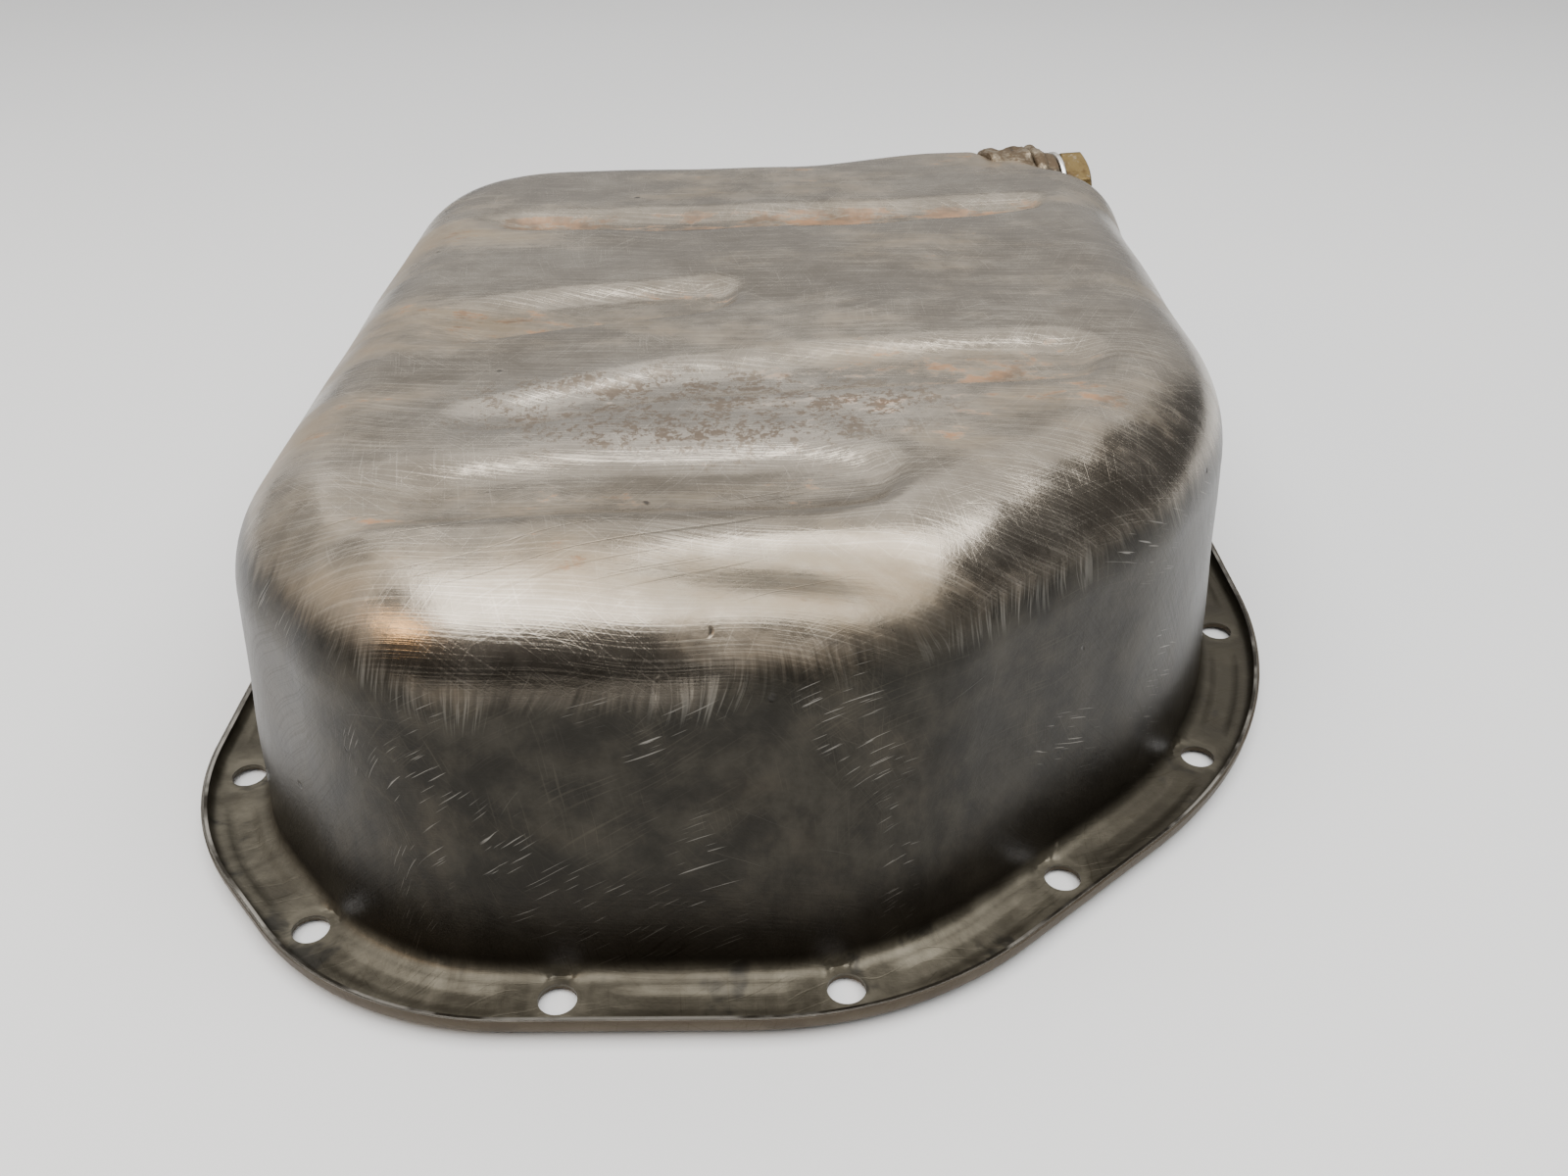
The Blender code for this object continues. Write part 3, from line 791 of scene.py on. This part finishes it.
def scoured_steel(settings):
    """Bare steel scoured in all directions, with dark patina and painted shade on the walls, and
    rust.
    """
    g = Graph("scoured_steel", 1.0, 0.35)
    place = g.place()
    skin = g.map("skin")
    groove, pad, _ = g.parts(g.map("marks"))
    x, y, z = g.parts(place)
    _, _, up = g.parts(g.facing())

    # Curved hand strokes: the skin is bent by a slow noise before the strokes are laid
    sway = g.noise(skin, 16.0, 1.0, 0.5, 0.0, 1)
    bent = g.node("ShaderNodeVectorMath", {"operation": "MULTIPLY_ADD"},
                  {0: sway, 1: (0.022, 0.022, 0.0), 2: skin})
    along = g.strokes(bent, 4, 0.030, 0.00040, 0.50, (0.1, 0.2, 0))
    rising = g.strokes(bent, -32, 0.018, 0.00042, 0.44, (0.7, 0.1, 0))
    falling = g.strokes(bent, 41, 0.016, 0.00042, 0.44, (0.3, 0.9, 0))
    steep = g.strokes(bent, 78, 0.014, 0.00040, 0.42, (1.3, 0.5, 0))
    cross = g.strokes(bent, -64, 0.017, 0.00042, 0.42, (2.3, 1.5, 0))
    patch_a = g.band(g.noise(skin, 30.0, 2.0), 0.42, 0.62)
    patch_b = g.band(g.noise(g.turned(skin, 25, (1, 1.4, 1), (3, 1, 0)), 34.0, 2.0), 0.42, 0.6)
    patch_c = g.band(g.noise(g.turned(skin, 80, (1, 1.3, 1), (5, 2, 0)), 38.0, 2.0), 0.45, 0.6)
    brushed = (0.55 * along + 0.5 * rising * patch_a + 0.5 * falling * patch_b
               + 0.5 * steep * patch_c + 0.45 * cross * (1.0 - patch_a)).clamp()

    # Single deep scratches
    long_a = g.strokes(bent, 14, 0.060, 0.00055, 0.295, (4.0, 3.0, 0))
    long_b = g.strokes(bent, -48, 0.030, 0.00050, 0.29, (6.0, 2.0, 0))
    long_c = g.strokes(bent, 62, 0.022, 0.00050, 0.29, (8.0, 5.0, 0))
    scratch = long_a.larger(long_b).larger(long_c)

    # Where things are
    cloud = g.noise(skin, 13.0, 4.0, 0.6)
    fine = g.noise(skin, 90.0, 5.0, 0.65)
    grain = g.noise(skin, 700.0, 3.0, 0.6)
    on_top = g.band(up, 0.80, 0.985)
    flange = 1.0 - g.band(z, 0.0032, 0.0062)
    # Mask for painted shade at the foot of the wall
    foot = 1.0 - g.band(z, 0.004, 0.030)
    inner = g.band(g.parts(skin)[0], 0.30, 0.31)

    def oval(middle_x, middle_y, across, along):
        """0 at the middle, 1 on an ellipse whose half axes are 1 / across and 1 / along."""
        return ((x - middle_x) * across) ** 2.0 + ((y - middle_y) * along) ** 2.0

    # Short strokes that run down over the shoulder, like a comb's
    around, down, _ = g.parts(g.map("fall"))
    fall = g.node("ShaderNodeCombineXYZ", {}, {0: around, 1: down, 2: x})
    slant = g.noise(fall, 30.0, 1.0, 0.5, 0.0, 1)
    fall = g.node("ShaderNodeVectorMath", {"operation": "MULTIPLY_ADD"},
                  {0: slant, 1: (0.022, 0.0, 0.0), 2: fall})
    comb = g.noise(g.turned(fall, 0, (900.0, 45.0, 20.0)), 1.0, 3.0, 0.6)
    hair = g.band(g.noise(g.turned(fall, 0, (1900.0, 75.0, 20.0)), 1.0, 2.0), 0.50, 0.62)
    front_left = (1.0 - g.band((x + 0.034).magnitude(), 0.020, 0.036)) * g.band(0.0 - y, 0.09, 0.11)
    height = z + 0.010 * cloud + 0.006 * comb + 0.0065 * front_left
    low_wall = 1.0 - g.band(height, 0.0705, 0.0785)
    near_edge = 1.0 - g.band((height - 0.0745).magnitude(), 0.002, 0.008)

    # Bare steel
    tone = (0.55 * cloud + 0.45 * fine + 0.22 * brushed).clamp()
    steel = g.mix(settings.steel_dark, settings.steel_light, g.band(tone, 0.34, 0.82))
    near_front = g.band(0.0 - y, 0.075, 0.095) * on_top
    gouge_place = g.turned(bent, -16, (14.0, 1100.0, 1.0), (21.0, 3.0, 0))
    gouge = g.band(g.noise(gouge_place, 1.0, 1.0), 0.66, 0.70) * near_front
    steel = g.mix(steel, (0.74, 0.70, 0.63), 0.35 * scratch)
    steel = g.mix(steel, (0.12, 0.105, 0.085), 0.55 * gouge)
    combed = g.band(g.noise(skin, 22.0, 3.0), 0.44, 0.60) * hair
    # Painted shade: the steel is darkened below the shoulder's crest, less where the combed strokes
    # run
    painted_shade_below_crest = (1.0 - g.band(z + 0.004 * comb, 0.0655, 0.0705)) * (1.0 - 0.70 * combed)
    steel = g.mix(steel, (0.055, 0.048, 0.038), 0.72 * painted_shade_below_crest)

    # Dark patina and painted shade on the walls, scoured through in patches
    worn = (patch_c * steep + patch_b * rising + 0.6 * patch_a * falling).clamp()
    patina_and_shade_tone = g.mix((0.014, 0.0125, 0.0095), (0.038, 0.034, 0.026),
                        g.band(0.3 * cloud + 0.7 * fine, 0.36, 0.66))
    nick_place = g.turned(bent, -24, (85.0, 2600.0, 1.0), (12.0, 7.0, 0))
    nicks = g.band(g.noise(nick_place, 1.0, 1.0), 0.66, 0.70)
    nicks = nicks * g.band(g.noise(skin, 30.0, 2.0) + 0.06 * front_left, 0.54, 0.62)
    patina_and_shade = g.mix(patina_and_shade_tone, (0.15, 0.14, 0.12), 0.20 * worn + 0.30 * scratch)
    patina_and_shade = g.mix(patina_and_shade, (0.45, 0.43, 0.39), 0.36 * nicks)
    patina_and_shade = g.mix(patina_and_shade, (0.22, 0.21, 0.185), 0.45 * combed * near_edge)
    colour = g.mix(steel, patina_and_shade, low_wall)

    # Painted shade: a darker strip along the shallow dent in the front shoulder
    ledge = oval(0.010, -0.1142, 26.0, 140.0) + 0.8 * (fine - 0.5)
    ledge = (1.0 - g.band(ledge, 0.5, 1.3)) * g.band(z, 0.06, 0.07)
    colour = g.mix(colour, (0.150, 0.132, 0.104), 0.76 * ledge)

    # Rust and brown stain: in the grooves, along the left edge, and in clouds
    west = g.band(0.0 - x, 0.045, 0.105)
    corner = 1.0 - g.band(oval(0.045, 0.120, 17.0, 34.0), 0.4, 1.6)
    stain_place = g.turned(skin, 3, (14.0, 30.0, 1.0), (2.0, 7.0, 0))
    stain_cloud = g.noise(stain_place, 1.0, 6.0, 0.68)
    stain = g.band(stain_cloud + 0.08 * groove + 0.12 * west + 0.14 * fine
                   + 0.12 * corner - 0.05, 0.50, 0.78)
    stain = stain * (1.0 - 0.92 * low_wall) * settings.rust
    rust_tone = g.mix((0.085, 0.046, 0.022), (0.36, 0.165, 0.060), g.band(fine, 0.35, 0.68))
    crust_cloud = g.noise(g.turned(skin, 0, (70.0, 150.0, 1.0), (1.0, 4.0, 0)), 1.0, 6.0, 0.74)
    gutter = g.band(groove, 0.15, 0.5) * (0.35 + g.band(y, -0.01, 0.03))
    speckle = 1.0 - g.band(oval(0.045, -0.048, 22.0, 36.0), 0.3, 1.5)
    crust = (crust_cloud + 0.140 * gutter + 0.06 * speckle + 0.05 * corner
             + 0.14 * (stain - 0.5))
    crust = g.band(crust, 0.59, 0.68) * on_top
    colour = g.mix(colour, (0.205, 0.142, 0.070), 0.60 * stain)
    colour = g.mix(colour, rust_tone, (0.70 * crust * settings.rust).clamp())

    # Light flaked film left of the middle
    film_zone = 1.0 - g.band(oval(-0.012, -0.056, 18.0, 42.0), 0.35, 1.25)
    flake_cloud = 0.45 * g.noise(skin, 150.0, 4.0, 0.7) + 0.55 * g.noise(skin, 640.0, 5.0, 0.8)
    flakes = g.band(flake_cloud + 0.06 * film_zone, 0.565, 0.59) * on_top
    colour = g.mix(colour, (0.66, 0.62, 0.56), 0.35 * film_zone * (1.0 - flakes))
    colour = g.mix(colour, (0.125, 0.088, 0.060), 0.80 * flakes * film_zone.larger(0.12))

    # Small black pits
    speck = g.node("ShaderNodeTexVoronoi", {"feature": "F1"}, {"Vector": skin, "Scale": 95.0})
    chance = g.band(g.noise(skin, 160.0, 1.0), 0.60, 0.64)
    pit = (1.0 - g.band(speck, 0.05, 0.11)) * chance
    colour = g.mix(colour, (0.012, 0.010, 0.008), 0.9 * pit)

    # Flange: olive grey, darker to the right, with brighter pads round the holes and oil marks
    east = g.band(x, 0.03, 0.08)
    flange_tone = g.mix((0.058, 0.051, 0.037), (0.150, 0.136, 0.104),
                        g.band(0.5 * cloud + 0.5 * fine + 0.10 * pad - 0.12 * east, 0.36, 0.68))
    oil = g.band(g.noise(g.turned(skin, 0, (1, 1, 1), (9, 4, 0)), 42.0, 4.0, 0.6), 0.56, 0.64)
    flange_tone = g.mix(flange_tone, (0.030, 0.028, 0.024), 0.8 * oil)
    # Lip top: rubbed bare in patches, with a painted highlight along its upward-facing top edge
    lip = g.band(z, 0.0046, 0.0049) * (1.0 - g.band(z, 0.0052, 0.0054)) * g.band(up, 0.25, 0.7)
    colour = g.mix(colour, flange_tone, flange)
    # Painted shade: the foot of the wall next to the flange is darkened
    colour = g.mix(colour, (0.018, 0.014, 0.010), 0.80 * foot * (1.0 - flange))
    lip_wear_and_highlight = g.band(g.noise(skin, 40.0, 3.0), 0.46, 0.60)
    colour = g.mix(colour, (0.42, 0.40, 0.36), 0.7 * lip * lip_wear_and_highlight)
    colour = g.mix(colour, (0.075, 0.055, 0.034), 0.65 * inner)

    dull = (0.8 * stain + crust + 0.5 * flakes * film_zone).clamp()
    g.set("Base Color", colour)
    g.set("Metallic", (1.0 - 0.55 * dull - 0.25 * low_wall * (1.0 - worn) - 0.4 * pit).clamp())
    rough = (settings.roughness + 0.10 * (fine - 0.5) + 0.08 * brushed + 0.26 * dull
             + 0.10 * low_wall + 0.14 * flange + 0.10 * inner)
    g.set("Roughness", rough.clamp())
    fine_bump = g.bump(0.6 * brushed + 0.5 * grain + 0.9 * scratch - 1.6 * gouge, 0.000024, 0.8)
    coarse = g.bump(fine + 0.5 * crust_cloud - 1.2 * pit + 0.25 * cloud, 0.00022, 0.6, fine_bump)
    g.set("Normal", coarse)
    return g.material


def brazed_steel(settings):
    """Brown, lumpy braze over steel: brassy where it is rubbed, dark in the hollows."""
    g = Graph("brazed_steel", 0.9, 0.5)
    place = g.place()
    broad = g.noise(place, 160.0, 4.0, 0.6)
    fine = g.noise(place, 900.0, 4.0, 0.65)
    rubbed = g.band(0.6 * broad + 0.4 * fine, 0.46, 0.60)
    colour = g.mix((0.095, 0.066, 0.038), (0.27, 0.225, 0.165), rubbed)
    soot = g.band(g.noise(place, 300.0, 3.0), 0.58, 0.70)
    colour = g.mix(colour, (0.03, 0.025, 0.02), 0.7 * soot)
    g.set("Base Color", colour)
    g.set("Metallic", 0.55 + 0.4 * rubbed)
    g.set("Roughness", 0.62 - 0.22 * rubbed + 0.1 * fine)
    g.set("Normal", g.bump(broad + 0.35 * fine, 0.0005, 0.7))
    return g.material


def washer_aluminium():
    """Soft aluminium ring: fine turning marks, grey smears and a few dents."""
    g = Graph("washer_aluminium", 1.0, 0.32)
    place = g.place()
    broad = g.noise(place, 260.0, 3.0, 0.6)
    fine = g.noise(place, 2600.0, 3.0, 0.6)
    smear = g.band(broad, 0.50, 0.66)
    g.set("Base Color", g.mix((0.78, 0.77, 0.74), (0.30, 0.27, 0.22), 0.75 * smear))
    g.set("Metallic", 1.0 - 0.3 * smear)
    g.set("Roughness", 0.26 + 0.22 * smear + 0.12 * fine)
    g.set("Normal", g.bump(0.6 * broad + 0.4 * fine, 0.00008, 0.8))
    return g.material


def plated_steel(settings):
    """Yellow plated plug: ochre film, rubbed through to steel and stained brown."""
    g = Graph("plated_steel", 0.95, 0.4)
    place = g.place()
    broad = g.noise(place, 130.0, 4.0, 0.62)
    fine = g.noise(place, 1100.0, 4.0, 0.65)
    colour = g.mix(settings.plug_plating, (0.090, 0.056, 0.024), g.band(broad, 0.44, 0.62))
    rubbed = g.band(0.55 * fine + 0.45 * g.noise(place, 420.0, 3.0), 0.55, 0.64)
    colour = g.mix(colour, (0.42, 0.38, 0.30), 0.35 * rubbed)
    grime = g.band(g.noise(place, 230.0, 4.0, 0.7), 0.58, 0.68)
    colour = g.mix(colour, (0.035, 0.026, 0.016), 0.75 * grime)
    g.set("Base Color", colour)
    g.set("Metallic", 0.92 - 0.5 * grime)
    g.set("Roughness", 0.42 + 0.18 * broad + 0.18 * grime)
    g.set("Normal", g.bump(0.5 * broad + 0.5 * fine, 0.00016, 0.8))
    return g.material


def pale_floor():
    """Plain pale floor, very slightly uneven in tone."""
    g = Graph("pale_floor", 0.0, 0.5)
    cloud = g.noise(g.place(), 2.0, 2.0)
    g.set("Base Color", g.mix((0.70, 0.71, 0.725), (0.76, 0.77, 0.78), cloud))
    g.set("Roughness", 0.5 + 0.1 * cloud)
    return g.material


# ------------------------------------------------------------------ add-on

class OilPanSettings(bpy.types.PropertyGroup):
    sheet: bpy.props.FloatProperty(
        name="Sheet", description="Thickness of the pressed sheet", default=0.0012,
        min=0.0008, max=0.0016, unit="LENGTH", precision=4)
    groove_depth: bpy.props.FloatProperty(
        name="Groove depth", description="Depth of the grooves pressed into the sump bottom",
        default=0.0025, min=0.0, max=0.004, unit="LENGTH", precision=4)
    ripple: bpy.props.FloatProperty(
        name="Ripple", description="Unevenness of the pressed sheet", default=0.00016,
        min=0.0, max=0.0006, unit="LENGTH", precision=5)
    thread_pitch: bpy.props.FloatProperty(
        name="Thread pitch", description="Travel of the plug in one turn", default=0.0015,
        min=0.001, max=0.002, unit="LENGTH", precision=4)
    plug_flats: bpy.props.FloatProperty(
        name="Plug flats", description="Width of the plug's head across its flats",
        default=0.019, min=0.017, max=0.019, unit="LENGTH", precision=4)
    rust: bpy.props.FloatProperty(
        name="Rust", description="Amount of rust and brown stain", default=1.0, min=0.0,
        max=1.5, subtype="FACTOR")
    roughness: bpy.props.FloatProperty(
        name="Roughness", description="Roughness of the scoured steel", default=0.22, min=0.1,
        max=0.7, subtype="FACTOR")
    steel_dark: bpy.props.FloatVectorProperty(
        name="Dark steel", description="Duller tone of the bare steel", size=3,
        default=(0.270, 0.232, 0.184), min=0.0, max=1.0, subtype="COLOR")
    steel_light: bpy.props.FloatVectorProperty(
        name="Light steel", description="Brighter tone of the scoured steel", size=3,
        default=(0.56, 0.505, 0.425), min=0.0, max=1.0, subtype="COLOR")
    plug_plating: bpy.props.FloatVectorProperty(
        name="Plug plating", description="Colour of the plug's plating", size=3,
        default=(0.165, 0.118, 0.050), min=0.0, max=1.0, subtype="COLOR")
    light_power: bpy.props.FloatProperty(
        name="Studio light", description="Power of the large soft light overhead",
        default=44.0, min=0.0, max=200.0, unit="POWER")


def finish_piece(piece, material, body, node):
    """Gives a piece its material, its body and the CAD node that it stands for."""
    piece.data.materials.append(material)
    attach(piece, body)
    if node:
        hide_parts(node)


class OILPAN_OT_shell(bpy.types.Operator):
    """Build the pressed sheet: lip, flange, beads, holes, wall, shoulder, grooves and recess"""
    bl_idname = "oil_pan.shell"
    bl_label = "Pan shell"

    def execute(self, context):
        settings = context.scene.oil_pan
        finish_piece(pan_shell(settings), scoured_steel(settings), "pan", "pan_shell")
        return {'FINISHED'}


class OILPAN_OT_bung(bpy.types.Operator):
    """Build the threaded bung and the bead of braze that holds it"""
    bl_idname = "oil_pan.bung"
    bl_label = "Drain bung"

    def execute(self, context):
        settings = context.scene.oil_pan
        braze = brazed_steel(settings)
        finish_piece(bung_surface(settings), braze, "pan", "drain_bung")
        finish_piece(braze_bead(), braze, "pan", None)
        return {'FINISHED'}


class OILPAN_OT_washer(bpy.types.Operator):
    """Build the sealing washer"""
    bl_idname = "oil_pan.washer"
    bl_label = "Sealing washer"

    def execute(self, context):
        finish_piece(washer_surface(), washer_aluminium(), "washer", "sealing_washer")
        return {'FINISHED'}


class OILPAN_OT_plug(bpy.types.Operator):
    """Build the drain plug with its thread and hexagon head"""
    bl_idname = "oil_pan.plug"
    bl_label = "Drain plug"

    def execute(self, context):
        settings = context.scene.oil_pan
        finish_piece(plug_surface(settings), plated_steel(settings), "plug", "drain_plug")
        return {'FINISHED'}


def add_area_light(name, place, target, size, power, colour):
    data = bpy.data.lights.new(name, "AREA")
    data.shape = "RECTANGLE"
    data.size, data.size_y = size
    data.energy = power
    data.color = colour
    light = bpy.data.objects.new(name, data)
    light.location = place
    aim = np.array(target) - np.array(place)
    yaw = np.arctan2(aim[0], -aim[1])
    tilt = np.arccos(-aim[2] / np.linalg.norm(aim))
    light.rotation_euler = Euler((-tilt, 0.0, yaw))
    bpy.context.scene.collection.objects.link(light)


class OILPAN_OT_stage(bpy.types.Operator):
    """Build the pale floor, the soft lights and the camera"""
    bl_idname = "oil_pan.stage"
    bl_label = "Stage"

    def execute(self, context):
        scene = context.scene
        settings = scene.oil_pan
        mesh = bpy.data.meshes.new("floor")
        reach, level = 9.0, -0.0004
        corners = ((-reach, -reach), (reach, -reach), (reach, reach), (-reach, reach))
        mesh.from_pydata([(x, y, level) for x, y in corners], [], [(0, 1, 2, 3)])
        mesh.update()
        floor = bpy.data.objects.new("floor", mesh)
        mesh.materials.append(pale_floor())
        scene.collection.objects.link(floor)

        world = bpy.data.worlds.new("studio")
        world.use_nodes = True
        sky = world.node_tree.nodes["Background"]
        sky.inputs["Color"].default_value = (0.90, 0.90, 0.91, 1.0)
        sky.inputs["Strength"].default_value = 0.13
        scene.world = world
        for name, place, target, size, share, colour in LIGHTS:
            add_area_light(name, place, target, size, settings.light_power * share, colour)

        data = bpy.data.cameras.new("camera")
        data.sensor_width = 36.0
        data.lens = 31.86
        data.clip_start = 0.01
        camera = bpy.data.objects.new("camera", data)
        camera.location = (0.0021, -0.3021, 0.1937)
        camera.rotation_euler = Euler(np.radians((57.47, 0.08, -0.42)))
        scene.collection.objects.link(camera)
        scene.camera = camera
        return {'FINISHED'}


class OILPAN_PT_panel(bpy.types.Panel):
    """The oil pan's pieces and settings"""
    bl_idname = "OILPAN_PT_panel"
    bl_label = "Oil Pan"
    bl_space_type = "VIEW_3D"
    bl_region_type = "UI"
    bl_category = "Oil Pan"

    def draw(self, context):
        settings = context.scene.oil_pan
        for name in OilPanSettings.__annotations__:
            self.layout.prop(settings, name)
        for operator in OPERATORS:
            self.layout.operator(operator.bl_idname)


OPERATORS = (OILPAN_OT_shell, OILPAN_OT_bung, OILPAN_OT_washer, OILPAN_OT_plug,
             OILPAN_OT_stage)
CLASSES = (OilPanSettings, *OPERATORS, OILPAN_PT_panel)


def register():
    for cls in CLASSES:
        bpy.utils.register_class(cls)
    bpy.types.Scene.oil_pan = bpy.props.PointerProperty(type=OilPanSettings)


def unregister():
    del bpy.types.Scene.oil_pan
    for cls in reversed(CLASSES):
        bpy.utils.unregister_class(cls)


def main():
    register()
    bpy.ops.oil_pan.shell()
    bpy.ops.oil_pan.bung()
    bpy.ops.oil_pan.washer()
    bpy.ops.oil_pan.plug()
    bpy.ops.oil_pan.stage()


if __name__ == "__main__":
    main()
